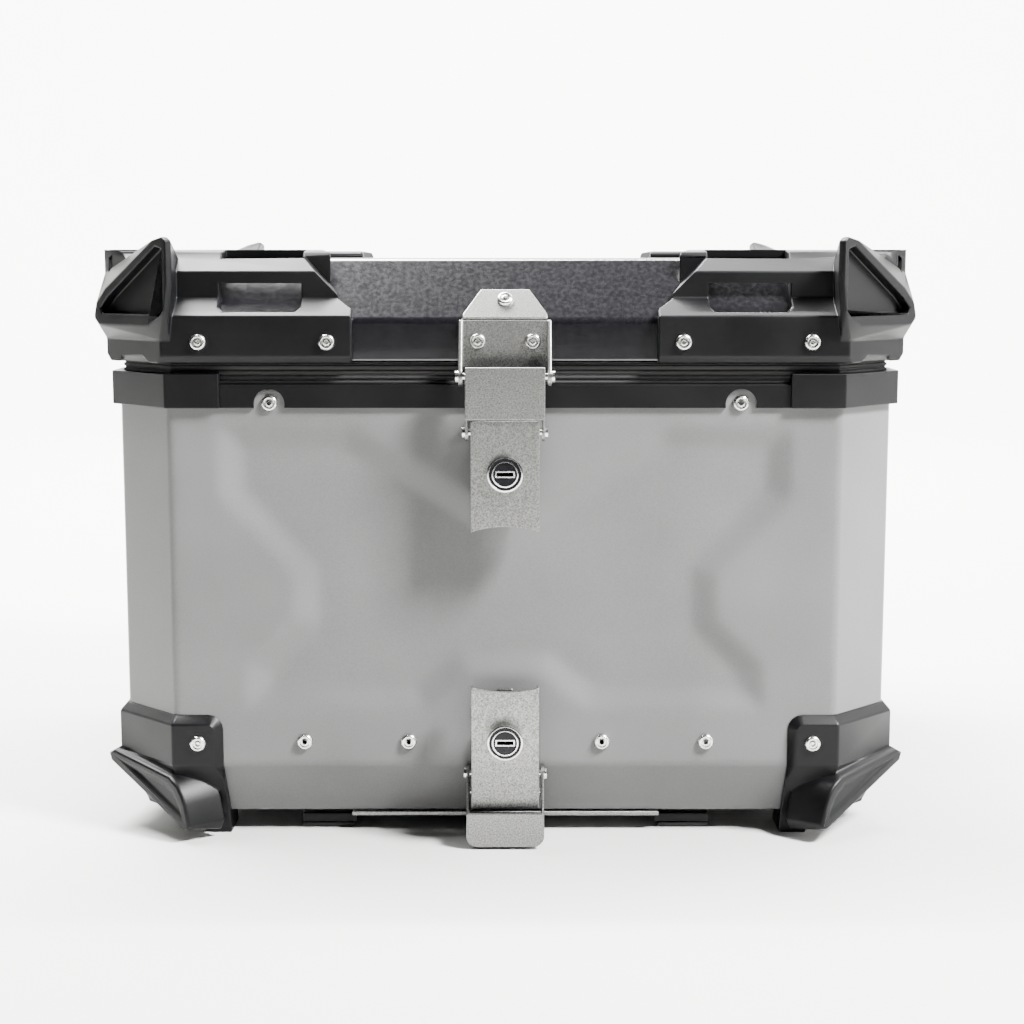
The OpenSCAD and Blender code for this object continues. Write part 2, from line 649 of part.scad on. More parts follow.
module base_latch_bracket() color("#9b9b9b") {
    ear = 12;
    difference() {
        union() {
            box([-15, yf - plate, fold_h + 4], [15, yf, base_lock_z + 21.5]);
            box([-4, yf - plate, base_lock_z + 21], [4, yf, base_lever_top - 5]);
            both_sides() across(ear, ear + ear_t) hull() {
                disc(4.4, base_pivot[0], base_pivot[1]);
                polygon([[yf - plate - 1.5, fold_h + 5], [yf - eps, fold_h + 5],
                    [yf - eps, fold_h + 22], [yf - plate - 1.5, fold_h + 20]]);
            }
            cam_staple(base_lock_z, tail_out + 1.8);
        }
        bar_x(pin_r + run_fit, -30, 30, base_pivot[0], base_pivot[1]);
        base_latch_rivet_places(plate) rivet_hole(10);
    }
}
module base_latch_pin() color("#d0d0d0")
    bar_x(pin_r, -lever_w / 2 - 0.7, lever_w / 2 + 0.7, base_pivot[0], base_pivot[1]);

module base_lever() color("#b4b4b3") {
    y_out = yf - base_lever_out;
    w = lever_w / 2;
    bend_z = fold_h + 5.6;
    low = belly_h + 9.7;
    y_low = y_out + 5;
    dip = 2.2;
    dip_r = (w * w + dip * dip) / (2 * dip);
    difference() {
        union() {
            across(-w, w) polygon([[y_out, base_lever_top], [y_out, bend_z], [y_low, low],
                [y_low + plate, low], [y_out + plate, bend_z], [y_out + plate, base_lever_top]]);
            both_sides() across(w - plate, w) union() {
                polygon([[y_out, base_lever_top], [y_out, bend_z], [y_out + 10, bend_z],
                    [y_out + 10, base_lever_top - 7], [y_out + 5, base_lever_top]]);
                hull() {
                    disc(4.2, hook_pivot[0], hook_pivot[1]);
                    disc(5, base_pivot[0], base_pivot[1]);
                    polygon([[y_out, bend_z], [y_low, low], [y_low + 2, low], [y_out + 10, bend_z]]);
                }
            }
        }
        bar_y(dip_r, y_out - 5, y_out + 20, 0, base_lever_top - dip + dip_r);
        bar_x(pin_r + run_fit, -30, 30, base_pivot[0], base_pivot[1]);
        both_sides() bar_x(pin_r + run_fit, w - 5, w + 5, hook_pivot[0], hook_pivot[1]);
        bar_y(barrel_r + 0.1, y_out - 5, y_out + 5, 0, base_lock_z);
    }
}

module hook_pins() color("#d0d0d0")
    both_sides() stub_pin(lever_w / 2 - plate - 1.2, hook_w / 2, hook_pivot[0], hook_pivot[1]);

module base_hook() color("#bdbdbd") {
    y_out = yf - base_lever_out - 2;
    y_in = yf + 1;
    top = belly_h + 8.7;
    w = hook_w / 2;
    r = 6;
    difference() {
        union() {
            along(y_out, y_in) hull() {
                for (s = [-1, 1]) translate([s * (w - r), hook_z + r]) circle(r = r);
                polygon([[-w, top], [w, top], [w, top - 1], [-w, top - 1]]);
            }
            both_sides() across(w - plate, w) hull() {
                disc(4.4, hook_pivot[0], hook_pivot[1]);
                polygon([[yf - 14, top], [yf - 2, top], [yf - 2, top - 5], [yf - 14, top - 5]]);
            }
        }
        along(y_out + plate, y_in + 1) hull() {
            for (s = [-1, 1]) translate([s * (w - r), hook_z + r]) circle(r = r - plate);
            polygon([[-w + plate, top + 40], [w - plate, top + 40], [w - plate, top], [-w + plate, top]]);
        }
        both_sides() bar_x(pin_r + run_fit, w - 5, w + 5, hook_pivot[0], hook_pivot[1]);
    }
}

// ---------- hinges ----------

module knuckle(x0, x1) bar_x(knuckle_r, x0, x1, hinge_y, hinge_z);
knuckle_w = hinge_w / 5;

module hinge_leaf_body() difference() {
    union() {
        translate([hinge_x - hinge_w / 2, 0, 0]) across(0, hinge_w) polygon([
            [hd, collar_z - 30], [hd + 2, collar_z - 30], [hd + 2, collar_z - 5],
            [hd + collar_out + gap + 2, collar_z - 1], [hd + collar_out + gap + 2, hinge_z - 5],
            [hd + collar_out + gap, hinge_z - 5], [hd + collar_out + gap, collar_z - 1.5], [hd, collar_z - 5]]);
        for (i = [-1, 1]) {
            x0 = hinge_x + (i - 0.5) * knuckle_w + 0.3;
            knuckle(x0, x0 + knuckle_w - 0.6);
            across(x0, x0 + knuckle_w - 0.6) polygon([
                [hd + collar_out + gap, hinge_z - 5.5], [hd + collar_out + gap + 2, hinge_z - 5.5],
                [hinge_y, hinge_z - 2.2], [hinge_y - 2.2, hinge_z], [hd + collar_out + gap, hinge_z - 2]]);
        }
    }
    bar_x(hinge_pin_r + run_fit, hinge_x - 40, hinge_x + 40, hinge_y, hinge_z);
    hinge_body_rivet_places(2) rivet_hole(10);
}

module hinge_leaf_lid() difference() {
    union() {
        translate([hinge_x - hinge_w / 2, 0, 0]) across(0, hinge_w) polygon([
            [hd, lid_z + 1], [hd + 2, lid_z + 1], [hd + 2, slope_z - 1.5], [hd, slope_z - 1.5]]);
        for (i = [-2, 0, 2]) {
            x0 = hinge_x + (i - 0.5) * knuckle_w + 0.3;
            knuckle(x0, x0 + knuckle_w - 0.6);
            across(x0, x0 + knuckle_w - 0.6) polygon([
                [hd, lid_z + 1], [hinge_y - 2.4, hinge_z + 1.4], [hinge_y, hinge_z + 2.4],
                [hinge_y + 0.5, hinge_z + 3], [hd + 2, lid_z + 5], [hd, lid_z + 5]]);
        }
    }
    bar_x(hinge_pin_r + run_fit, hinge_x - 40, hinge_x + 40, hinge_y, hinge_z);
    hinge_lid_rivet_places(2) rivet_hole(10);
}

// ---------- rack plate ----------

rack_top = belly_h - 0.3;
rack_sheet_t = 2.5;
claw_y = 95;
claw_x = 60;
tongue_w = 34;

module rack_bolts(z0, z1) for (x = [-1, 1]) for (y = [-1, 1])
    translate([x * bolt_x / 2, y * bolt_y / 2, z0]) cylinder(r = bolt_r, h = z1 - z0);

module rack_plate() color("#1f2022") difference() {
    box([-rack_w / 2, -rack_d / 2 - 27, 3], [rack_w / 2, rack_d / 2, rack_top - rack_sheet_t]);
    // relief between the front feet
    box([-rack_w / 2 + 30, -rack_d / 2 - 30, -1], [rack_w / 2 - 30, -rack_d / 2 - 5, 20]);
    both_sides() box([claw_x - 9.5, claw_y - 27, -1], [claw_x + 9.5, claw_y + 17, 20]);
    // openings that lighten the plate
    both_sides() box([8, -30, -1], [40, 30, 20]);
    rack_bolts(-1, 20);
}

module rack_sheet() color("#c8c8c8") difference() {
    union() {
        box([-84, -hd + lean - 0.5, rack_top - rack_sheet_t], [84, rack_d / 2 - 4, rack_top]);
        box([-tongue_w / 2, -hd - 8, 5.4], [tongue_w / 2, -rack_d / 2 - 10, 5.4 + rack_sheet_t]);
        box([-tongue_w / 2, -rack_d / 2 - 13, 5.4], [tongue_w / 2, -rack_d / 2 - 10, rack_top]);
    }
    both_sides() box([claw_x - 8.5, claw_y - 25, 0], [claw_x + 8.5, claw_y + 4.5, 20]);
    both_sides() box([8, -30, -1], [40, 30, 20]);
    rack_bolts(-1, 20);
}

module rack_pads() color("#141415") both_sides() for (y = [-rack_d / 2 - 27, rack_d / 2 - 30])
    box([rack_w / 2 - 28, y, 0], [rack_w / 2, y + 30, 3]);

// claws under the floor pan: they drop through the plate's slots and reach back under its sheet
module rear_claws() color("#b0b0b0") both_sides() across(claw_x - 7.5, claw_x + 7.5) polygon([
    [claw_y - 16, belly_h], [claw_y, belly_h], [claw_y, 4], [claw_y + 14, 4],
    [claw_y + 14, rack_top - rack_sheet_t - gap], [claw_y + 4, rack_top - rack_sheet_t - gap],
    [claw_y + 4, belly_h + sheet], [claw_y - 16, belly_h + sheet]]);

// ---------- pieces ----------

body_shell();
floor_pan();
rim_collar();
rim_cap_at(-1, -1);  // rim_cap_front_left
rim_cap_at(1, -1);  // rim_cap_front_right
rim_cap_at(-1, 1);  // rim_cap_rear_left
rim_cap_at(1, 1);  // rim_cap_rear_right
rim_seal();
base_guard_at(-1, -1);  // base_guard_front_left
base_guard_at(1, -1);  // base_guard_front_right
base_guard_at(-1, 1);  // base_guard_rear_left
base_guard_at(1, 1);  // base_guard_rear_right
color("#c8c8c8") base_guard_rivet_places(foot_out) rivet(foot_out + 2 * sheet);  // base_guard_rivets
color("#c8c8c8") floor_rivet_places() rivet(2 * sheet);  // floor_rivets
color("#c8c8c8") collar_rivet_places() rivet(sheet + 3.5);  // collar_rivets
latch_keeper();
color("#c8c8c8") keeper_rivet_places(plate) rivet(plate + sheet);  // keeper_rivets
color("#aaaaaa") mirror([1, 0, 0]) hinge_leaf_body();  // hinge_leaf_body_left
color("#aaaaaa") hinge_leaf_body();  // hinge_leaf_body_right
color("#c8c8c8") both_sides()  // hinge_pins
    bar_x(hinge_pin_r, hinge_x - hinge_w / 2 - 1, hinge_x + hinge_w / 2 + 1, hinge_y, hinge_z);
color("#c8c8c8") hinge_body_rivet_places(2) rivet(2 + sheet);  // hinge_body_rivets
base_latch_bracket();
color("#c8c8c8") base_latch_rivet_places(plate) rivet(plate + sheet);  // base_latch_rivets
base_latch_pin();
rear_claws();
lid_shell();
lid_frame();
lid_guard_at(-1, -1);  // lid_guard_front_left
lid_guard_at(1, -1);  // lid_guard_front_right
lid_guard_at(-1, 1);  // lid_guard_rear_left
lid_guard_at(1, 1);  // lid_guard_rear_right
color("#c8c8c8") lid_guard_rivet_places(guard_out) rivet(guard_out + sheet);  // lid_guard_rivets
latch_bracket();
color("#c8c8c8") latch_bracket_rivet_places(plate) rivet(plate + sheet);  // latch_bracket_rivets
link_upper_pins();
color("#aaaaaa") mirror([1, 0, 0]) hinge_leaf_lid();  // hinge_leaf_lid_left
color("#aaaaaa") hinge_leaf_lid();  // hinge_leaf_lid_right
color("#c8c8c8") hinge_lid_rivet_places(2) rivet(2 + sheet);  // hinge_lid_rivets
top_link();
link_lower_pins();
top_lever();
color("#d8d8d8") lock_barrel(lever_out, top_bezel, top_lock_z);  // top_lock_barrel
color("#b8b8b8") lock_nut(lever_out, top_lock_z);  // top_lock_nut
color("#111111") lock_plug(lever_out, top_bezel, top_lock_z);  // top_lock_plug
color("#b8b8b8") lock_cam(top_lock_z);  // top_lock_cam
color("#b8b8b8") cam_screw(top_lock_z);  // top_cam_screw
base_lever();
color("#d8d8d8") lock_barrel(base_lever_out, base_bezel, base_lock_z);  // base_lock_barrel
color("#b8b8b8") lock_nut(base_lever_out, base_lock_z);  // base_lock_nut
hook_pins();
base_hook();
color("#111111") lock_plug(base_lever_out, base_bezel, base_lock_z);  // base_lock_plug
color("#b8b8b8") lock_cam(base_lock_z);  // base_lock_cam
color("#b8b8b8") cam_screw(base_lock_z);  // base_cam_screw
rack_plate();
rack_sheet();
rack_pads();
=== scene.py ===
"""Finished look of a motorcycle top case: an aluminium box with a hinged lid, moulded
corner guards, a two-stage lid latch, a base latch and a rack plate.
Lengths are in metres in the mesh code and in millimetres in the settings."""

import json
from math import atan2, cos, pi, radians, sin

import bmesh
import bpy
from bpy.props import FloatProperty, FloatVectorProperty, PointerProperty, StringProperty
from mathutils import Matrix, Vector
from mathutils.bvhtree import BVHTree


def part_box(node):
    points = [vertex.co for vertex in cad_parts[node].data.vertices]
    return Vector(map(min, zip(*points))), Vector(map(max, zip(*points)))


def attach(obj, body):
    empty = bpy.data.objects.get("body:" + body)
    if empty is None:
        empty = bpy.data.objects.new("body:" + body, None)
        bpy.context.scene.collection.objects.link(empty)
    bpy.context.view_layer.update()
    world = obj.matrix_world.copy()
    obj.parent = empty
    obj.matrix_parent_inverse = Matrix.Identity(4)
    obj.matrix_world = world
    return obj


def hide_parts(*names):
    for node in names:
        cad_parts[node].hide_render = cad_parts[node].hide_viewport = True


bl_info = {
    "name": "Top case finish",
    "version": (1, 0, 0),
    "blender": (4, 5, 0),
    "location": "3D View > Sidebar > Top case",
    "description": "Builds the finished pieces, materials and stage of a motorcycle top case",
    "category": "Object",
}

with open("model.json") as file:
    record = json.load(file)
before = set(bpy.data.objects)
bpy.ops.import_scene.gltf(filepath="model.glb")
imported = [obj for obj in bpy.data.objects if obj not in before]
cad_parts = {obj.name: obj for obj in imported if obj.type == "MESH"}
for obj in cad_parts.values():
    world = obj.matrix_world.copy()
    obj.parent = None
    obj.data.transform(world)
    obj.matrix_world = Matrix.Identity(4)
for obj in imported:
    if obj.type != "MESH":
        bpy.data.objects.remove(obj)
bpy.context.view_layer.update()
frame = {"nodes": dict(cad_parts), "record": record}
MM = 0.001

CORNERS = ("front_left", "front_right", "rear_left", "rear_right")


# ---------- settings ----------

def edge_size(name, description, default):
    """A rounding width, stored in metres."""
    return FloatProperty(name=name, description=description, default=default * MM,
                         min=0.05 * MM, max=12 * MM, subtype="DISTANCE", unit="LENGTH")


def hex_colour(name, description, default):
    """A colour as an sRGB hex value."""
    return StringProperty(name=name, description=description, default=default)


class TopCaseSizes(bpy.types.PropertyGroup):
    """Widths of the rounded edges."""
    press_edge: edge_size("Pressed edge", "Rounding of the pressed panels' edges", 2.1)
    fold_edge: edge_size("Fold", "Rounding of the body's folds", 2.6)
    lid_edge: edge_size("Lid edge", "Rounding of the lid's edges", 2.2)
    mould_edge: edge_size("Moulded edge", "Rounding of the corner guards' edges", 0.9)
    rim_edge: edge_size("Rim edge", "Rounding of the rim collar's edges", 0.6)
    plate_edge: edge_size("Plate edge", "Rounding of the latch plates' edges", 0.6)


class TopCaseColours(bpy.types.PropertyGroup):
    """Colours of the finishes, as sRGB hex values."""
    aluminium: hex_colour("Aluminium", "Anodised body sheet", "#585858")
    nylon: hex_colour("Nylon", "Moulded guards and rim", "#040405")
    lid: hex_colour("Lid", "Powder coat of the lid", "#070609")
    rubber: hex_colour("Rubber", "Seal and pads", "#050505")
    blasted: hex_colour("Blasted steel", "Latch plates", "#7C7C7A")
    bright: hex_colour("Bright steel", "Rivets and pins", "#D9D9D6")
    chrome: hex_colour("Chrome", "Lock barrels", "#E2E2E0")
    lock_face: hex_colour("Lock face", "Gloss face of the lock plugs", "#08080A")
    floor: hex_colour("Floor", "Plain floor and backdrop", "#B4B4B2")


# ---------- materials ----------

def linear(hex_value):
    """sRGB hex to a linear RGBA tuple."""
    channels = [int(hex_value[i:i + 2], 16) / 255 for i in (1, 3, 5)]
    return tuple(c / 12.92 if c <= 0.04045 else ((c + 0.055) / 1.055) ** 2.4 for c in channels) + (1.0,)


def add_node(tree, kind, links=(), **settings):
    """Adds a node, gives it its settings and links its inputs from other nodes' outputs."""
    node = tree.nodes.new(kind)
    for key, value in settings.items():
        if hasattr(node, key):
            setattr(node, key, value)
        else:
            node.inputs[key.replace("_", " ")].default_value = value
    for socket, source in links:
        tree.links.new(source, node.inputs[socket])
    return node


def start_material(name, colour, metallic=0.0, roughness=0.5, **shader_settings):
    """A new material with one Principled shader and object coordinates."""
    material = bpy.data.materials.new(name)
    material.use_nodes = True
    tree = material.node_tree
    shader = tree.nodes["Principled BSDF"]
    shader.inputs["Base Color"].default_value = linear(colour)
    shader.inputs["Metallic"].default_value = metallic
    shader.inputs["Roughness"].default_value = roughness
    for key, value in shader_settings.items():
        shader.inputs[key.replace("_", " ")].default_value = value
    place = add_node(tree, "ShaderNodeTexCoord").outputs["Object"]
    return material, tree, shader, place


def noise(tree, place, grain_mm, detail=2.0, roughness=0.5):
    """Noise whose blobs are about grain_mm wide."""
    return add_node(tree, "ShaderNodeTexNoise", [("Vector", place)],
                    Scale=1 / (grain_mm * MM), Detail=detail, Roughness=roughness).outputs["Fac"]


def spread(tree, factor, low, high, from_low=0.3, from_high=0.7):
    """Maps a 0 to 1 pattern to the range low to high."""
    return add_node(tree, "ShaderNodeMapRange", [("Value", factor)], From_Min=from_low, From_Max=from_high,
                    To_Min=low, To_Max=high).outputs["Result"]


def blend_colours(tree, factor, first, second):
    """Blends two sRGB hex colours by a factor."""
    ramp = add_node(tree, "ShaderNodeValToRGB", [("Fac", factor)])
    ramp.color_ramp.elements[0].color = linear(first)
    ramp.color_ramp.elements[1].color = linear(second)
    return ramp


def bump(tree, height, depth_mm, strength=1.0):
    """Turns a 0 to 1 height into a surface bump of a real depth."""
    return add_node(tree, "ShaderNodeBump", [("Height", height)], Strength=strength,
                    Distance=depth_mm * MM).outputs["Normal"]


def shade(hex_value, factor):
    """A lighter or darker copy of an sRGB hex colour."""
    channels = [min(255, round(int(hex_value[i:i + 2], 16) * factor)) for i in (1, 3, 5)]
    return "#%02X%02X%02X" % tuple(channels)


def anodised_aluminium(colour):
    """Anodised aluminium sheet, etched before anodising: satin, with a fine even grain."""
    material, tree, shader, place = start_material("anodised_aluminium", colour, metallic=0.08, roughness=0.5,
                                                   Specular_IOR_Level=0.25)
    grain = noise(tree, place, 0.7, detail=3.0)
    cloud = noise(tree, place, 60, detail=2.0)
    mixed = add_node(tree, "ShaderNodeMath", [(0, grain), (1, cloud)], operation="ADD").outputs[0]
    ramp = blend_colours(tree, spread(tree, mixed, 0, 1, 0.7, 1.3), shade(colour, 0.93), shade(colour, 1.05))
    tree.links.new(ramp.outputs["Color"], shader.inputs["Base Color"])
    tree.links.new(spread(tree, cloud, 0.43, 0.5), shader.inputs["Roughness"])
    tree.links.new(bump(tree, grain, 0.02), shader.inputs["Normal"])
    return material


def moulded_nylon(colour):
    """Glass filled nylon from a spark eroded mould: black, satin, with a fine leathery texture."""
    material, tree, shader, place = start_material("moulded_nylon", colour, roughness=0.4,
                                                   Specular_IOR_Level=0.16)
    texture = noise(tree, place, 0.9, detail=2.0)
    flow = noise(tree, place, 35, detail=1.0)
    ramp = blend_colours(tree, flow, shade(colour, 0.85), shade(colour, 1.25))
    tree.links.new(ramp.outputs["Color"], shader.inputs["Base Color"])
    tree.links.new(spread(tree, flow, 0.36, 0.46), shader.inputs["Roughness"])
    tree.links.new(bump(tree, texture, 0.03), shader.inputs["Normal"])
    return material


def powder_coat(colour):
    """Powder coated lid: black with a faint violet cast, satin, with a slight orange peel."""
    material, tree, shader, place = start_material("powder_coat", colour, roughness=0.2,
                                                   Coat_Weight=0.8, Coat_Roughness=0.12)
    peel = noise(tree, place, 2.2, detail=1.0)
    fine = noise(tree, place, 0.6)
    ramp = blend_colours(tree, fine, shade(colour, 0.9), shade(colour, 1.15))
    tree.links.new(ramp.outputs["Color"], shader.inputs["Base Color"])
    tree.links.new(spread(tree, peel, 0.21, 0.27), shader.inputs["Roughness"])
    tree.links.new(bump(tree, peel, 0.012), shader.inputs["Normal"])
    return material


def rubber(colour):
    """Moulded rubber: near black and matte, with a faint bloom."""
    material, tree, shader, place = start_material("moulded_rubber", colour, roughness=0.7)
    bloom = noise(tree, place, 12, detail=3.0)
    ramp = blend_colours(tree, bloom, shade(colour, 0.8), shade(colour, 1.8))
    tree.links.new(ramp.outputs["Color"], shader.inputs["Base Color"])
    tree.links.new(bump(tree, noise(tree, place, 0.8), 0.03), shader.inputs["Normal"])
    return material


def blasted_steel(colour):
    """Bead blasted stainless steel: sparkling grain of light and dark specks on a satin ground."""
    material, tree, shader, place = start_material("blasted_steel", colour, metallic=1.0, roughness=0.34)
    # real grit leaves pits near 0.15 mm, drawn at 0.8 mm so that they show
    specks = noise(tree, place, 0.8, detail=3.0, roughness=0.75)
    ramp = blend_colours(tree, spread(tree, specks, 0, 1, 0.36, 0.64), shade(colour, 0.72), shade(colour, 1.2))
    tree.links.new(ramp.outputs["Color"], shader.inputs["Base Color"])
    tree.links.new(spread(tree, specks, 0.44, 0.3, 0.36, 0.64), shader.inputs["Roughness"])
    tree.links.new(bump(tree, specks, 0.09), shader.inputs["Normal"])
    return material


def bright_steel(colour):
    """Tumbled stainless steel: bright, with faint handling marks."""
    material, tree, shader, place = start_material("tumbled_steel", colour, metallic=1.0, roughness=0.22)
    marks = noise(tree, place, 1.5, detail=4.0)
    ramp = blend_colours(tree, marks, shade(colour, 0.92), shade(colour, 1.04))
    tree.links.new(ramp.outputs["Color"], shader.inputs["Base Color"])
    tree.links.new(spread(tree, marks, 0.16, 0.3), shader.inputs["Roughness"])
    return material


def zinc_plate(colour):
    """Zinc plated steel of the hidden fittings: dull grey with a mottled crystal pattern."""
    material, tree, shader, place = start_material("zinc_plate", colour, metallic=1.0, roughness=0.45)
    crystals = add_node(tree, "ShaderNodeTexVoronoi", [("Vector", place)], Scale=1 / (3 * MM)).outputs["Distance"]
    ramp = blend_colours(tree, crystals, shade(colour, 0.85), shade(colour, 1.05))
    tree.links.new(ramp.outputs["Color"], shader.inputs["Base Color"])
    tree.links.new(spread(tree, crystals, 0.35, 0.5, 0, 1), shader.inputs["Roughness"])
    return material


def chrome_plate(colour):
    """Satin chrome on a die cast barrel: mirror-like with a faint haze."""
    material, tree, shader, place = start_material("chrome_plate", colour, metallic=1.0, roughness=0.16)
    haze = noise(tree, place, 4, detail=3.0)
    tree.links.new(spread(tree, haze, 0.12, 0.22), shader.inputs["Roughness"])
    return material


def gloss_enamel(colour):
    """Gloss black enamel on the lock plugs: deep black."""
    material, tree, shader, place = start_material("gloss_enamel", colour, roughness=0.3,
                                                   Specular_IOR_Level=0.15)
    dust = noise(tree, place, 0.8, detail=3.0)
    ramp = blend_colours(tree, dust, colour, shade(colour, 1.8))
    tree.links.new(ramp.outputs["Color"], shader.inputs["Base Color"])
    tree.links.new(spread(tree, dust, 0.16, 0.26), shader.inputs["Roughness"])
    return material


def studio_paint(colour):
    """Matt painted studio floor: plain and pale."""
    material, tree, shader, place = start_material("studio_paint", colour, roughness=0.85,
                                                   Specular_IOR_Level=0.2)
    return material


FINISHES = {
    "aluminium_sheet": (anodised_aluminium, "aluminium"),
    "black_nylon": (moulded_nylon, "nylon"),
    "lid_paint": (powder_coat, "lid"),
    "black_rubber": (rubber, "rubber"),
    "blasted_steel": (blasted_steel, "blasted"),
    "bright_steel": (bright_steel, "bright"),
    "lock_chrome": (chrome_plate, "chrome"),
    "lock_face": (gloss_enamel, "lock_face"),
}
made_finishes = {}


def finish_of(slot):
    """The material of a slot of the record, made on first use."""
    if slot not in made_finishes:
        make, colour = FINISHES[slot]
        made_finishes[slot] = make(getattr(bpy.context.scene.top_case_colours, colour))
    return made_finishes[slot]


# ---------- mesh tools ----------

def slot_of(node):
    """The record's material slot of a CAD node."""
    return next(part["material_slot"] for part in frame["record"]["subparts"] if part["node"] == node)


def body_of(node):
    """The moving body that a CAD node belongs to."""
    bodies = frame["record"]["behaviour"]["bodies"]
    return next(body for body, nodes in bodies.items() if node in nodes)


def merged_copy(node):
    """The CAD node's shape as a bmesh with its flat faces joined."""
    bm = bmesh.new()
    bm.from_mesh(frame["nodes"][node].data)
    bmesh.ops.remove_doubles(bm, verts=bm.verts, dist=0.002 * MM)
    bmesh.ops.dissolve_limit(bm, angle_limit=radians(0.4), verts=bm.verts, edges=bm.edges,
                             use_dissolve_boundaries=False, delimit=set())
    return bm


def round_edges(bm, width, segments=2, steeper_than=18, longer_than=None, where=None):
    """Rounds the edges that are steeper than an angle, long enough, and picked by where."""
    longer_than = 1.5 * width if longer_than is None else longer_than
    edges = [e for e in bm.edges if len(e.link_faces) == 2 and e.calc_length() > longer_than
             and e.calc_face_angle(0) > radians(steeper_than) and (where is None or where(e))]
    bmesh.ops.bevel(bm, geom=edges, offset=width, offset_type="OFFSET", segments=segments, profile=0.5,
                    affect="EDGES", clamp_overlap=False, loop_slide=False, material=-1)


def place_piece(bm, name, node, smooth_under=35, slot=None, stands_for=True):
    """Makes the object of a finished shape, which moves with a CAD node's body and may stand for the node."""
    mesh = bpy.data.meshes.new(name)
    bm.to_mesh(mesh)
    bm.free()
    mesh.shade_smooth()
    mesh.set_sharp_from_angle(angle=radians(smooth_under))
    piece = bpy.data.objects.new(name, mesh)
    bpy.context.scene.collection.objects.link(piece)
    slot = slot or slot_of(node)
    mesh.materials.append(finish_of(slot))
    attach(piece, body_of(node))
    if stands_for:
        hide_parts(node)
    weighted = piece.modifiers.new("Flat faces stay flat", "WEIGHTED_NORMAL")
    weighted.keep_sharp = True
    weighted.weight = 100
    return piece


def soften(node, width, sliver=0, **how):
    """A copy of a CAD node with its edges rounded; slivers and edges at crowded corners are left out."""
    bm = merged_copy(node)
    if sliver:
        bmesh.ops.dissolve_degenerate(bm, edges=bm.edges, dist=sliver)
        bmesh.ops.dissolve_limit(bm, angle_limit=radians(1.5), verts=bm.verts, edges=bm.edges,
                                 use_dissolve_boundaries=False, delimit=set())
        how["where"] = lambda e: all(near.calc_length() > 1.1 * width for v in e.verts for near in v.link_edges)
    round_edges(bm, width, **how)
    return place_piece(bm, "finished_" + node, node)


def dress(*nodes):
    """Gives CAD nodes that keep their shape the finish of their slot."""
    for node in nodes:
        mesh = frame["nodes"][node].data
        mesh.materials.clear()
        mesh.materials.append(finish_of(slot_of(node)))


def bead_depth(mesh, half_y):
    """Depth of the pressed panel: how far the sheet's outer face is set back at the middle of the front."""
    near = [half_y + v.co.y for v in mesh.vertices if v.co.y < 0 and half_y + v.co.y < 8 * MM]
    return max(near)


def lathe(profile, steps):
    """Solid turned about the X axis from profile points [(along, radius), ...], closed where they ring a bore."""
    bm = bmesh.new()
    ring = profile[0] == profile[-1]
    points = [bm.verts.new((along, radius, 0)) for along, radius in (profile[:-1] if ring else profile)]
    edges = [bm.edges.new(pair) for pair in zip(points, points[1:] + (points[:1] if ring else []))]
    bmesh.ops.spin(bm, geom=points + edges, cent=(0, 0, 0), axis=(1, 0, 0), angle=2 * pi, steps=steps,
                   use_merge=True, use_duplicate=False, dvec=(0, 0, 0))
    bmesh.ops.remove_doubles(bm, verts=bm.verts, dist=0.001 * MM)
    bmesh.ops.recalc_face_normals(bm, faces=bm.faces)
    return bm


def islands(bm):
    """The separate solids of a mesh, as lists of vertices."""
    left, found = set(bm.verts), []
    while left:
        reach, island = [left.pop()], []
        while reach:
            vert = reach.pop()
            island.append(vert)
            near = {edge.other_vert(vert) for edge in vert.link_edges} & left
            left -= near
            reach += near
        found.append(island)
    return found


def turned_rivets(*nodes):
    """Domed rivets with a ring, a groove and a hollow pin, each turned on the axis of its CAD rivet."""
    for node in nodes:
        cad, finished = merged_copy(node), bmesh.new()
        for island in islands(cad):
            # the widest flat face is square to the axis, which points away from the case
            axis = max({f for v in island for f in v.link_faces}, key=lambda f: f.calc_area()).normal.copy()
            middle = sum((v.co for v in island), Vector()) / len(island)
            if axis.dot(Vector((middle.x, middle.y, 0))) < 0:
                axis.negate()

            def off_axis(point):
                return (point - middle) - axis * axis.dot(point - middle)

            rim = max(off_axis(v.co).length for v in island)
            edge = [v.co for v in island if off_axis(v.co).length > 0.9 * rim]
            middle = sum(edge, Vector()) / len(edge)
            rim = max(off_axis(v.co).length for v in island)
            heights = [axis.dot(v.co - middle) for v in island]
            base = min(axis.dot(v.co - middle) for v in island if off_axis(v.co).length > 0.97 * rim)
            tail, top = min(heights), max(heights)
            shank = max(off_axis(v.co).length for v in island if axis.dot(v.co - middle) < tail + 0.1 * MM)
            head = top - base
            dome = [(0, 1), (0.25, 1), (0.6, 0.94), (0.88, 0.83), (1, 0.7), (0.9, 0.59), (0.4, 0.54),
                    (0.4, 0.46), (0.8, 0.41), (0.85, 0.31), (0.5, 0.23), (0, 0.21), (0, 0)]
            rivet = lathe([(tail, 0), (tail, shank), (base, shank)]
                          + [(base + up * head, out * rim) for up, out in dome], 24)
            turn = Vector((1, 0, 0)).rotation_difference(axis).to_matrix()
            bmesh.ops.rotate(rivet, cent=(0, 0, 0), matrix=turn, verts=rivet.verts)
            bmesh.ops.translate(rivet, vec=middle, verts=rivet.verts)
            mesh = bpy.data.meshes.new("rivet")
            rivet.to_mesh(mesh)
            rivet.free()
            finished.from_mesh(mesh)
            bpy.data.meshes.remove(mesh)
        cad.free()
        place_piece(finished, "turned_" + node, node, smooth_under=50)


# ---------- operators ----------

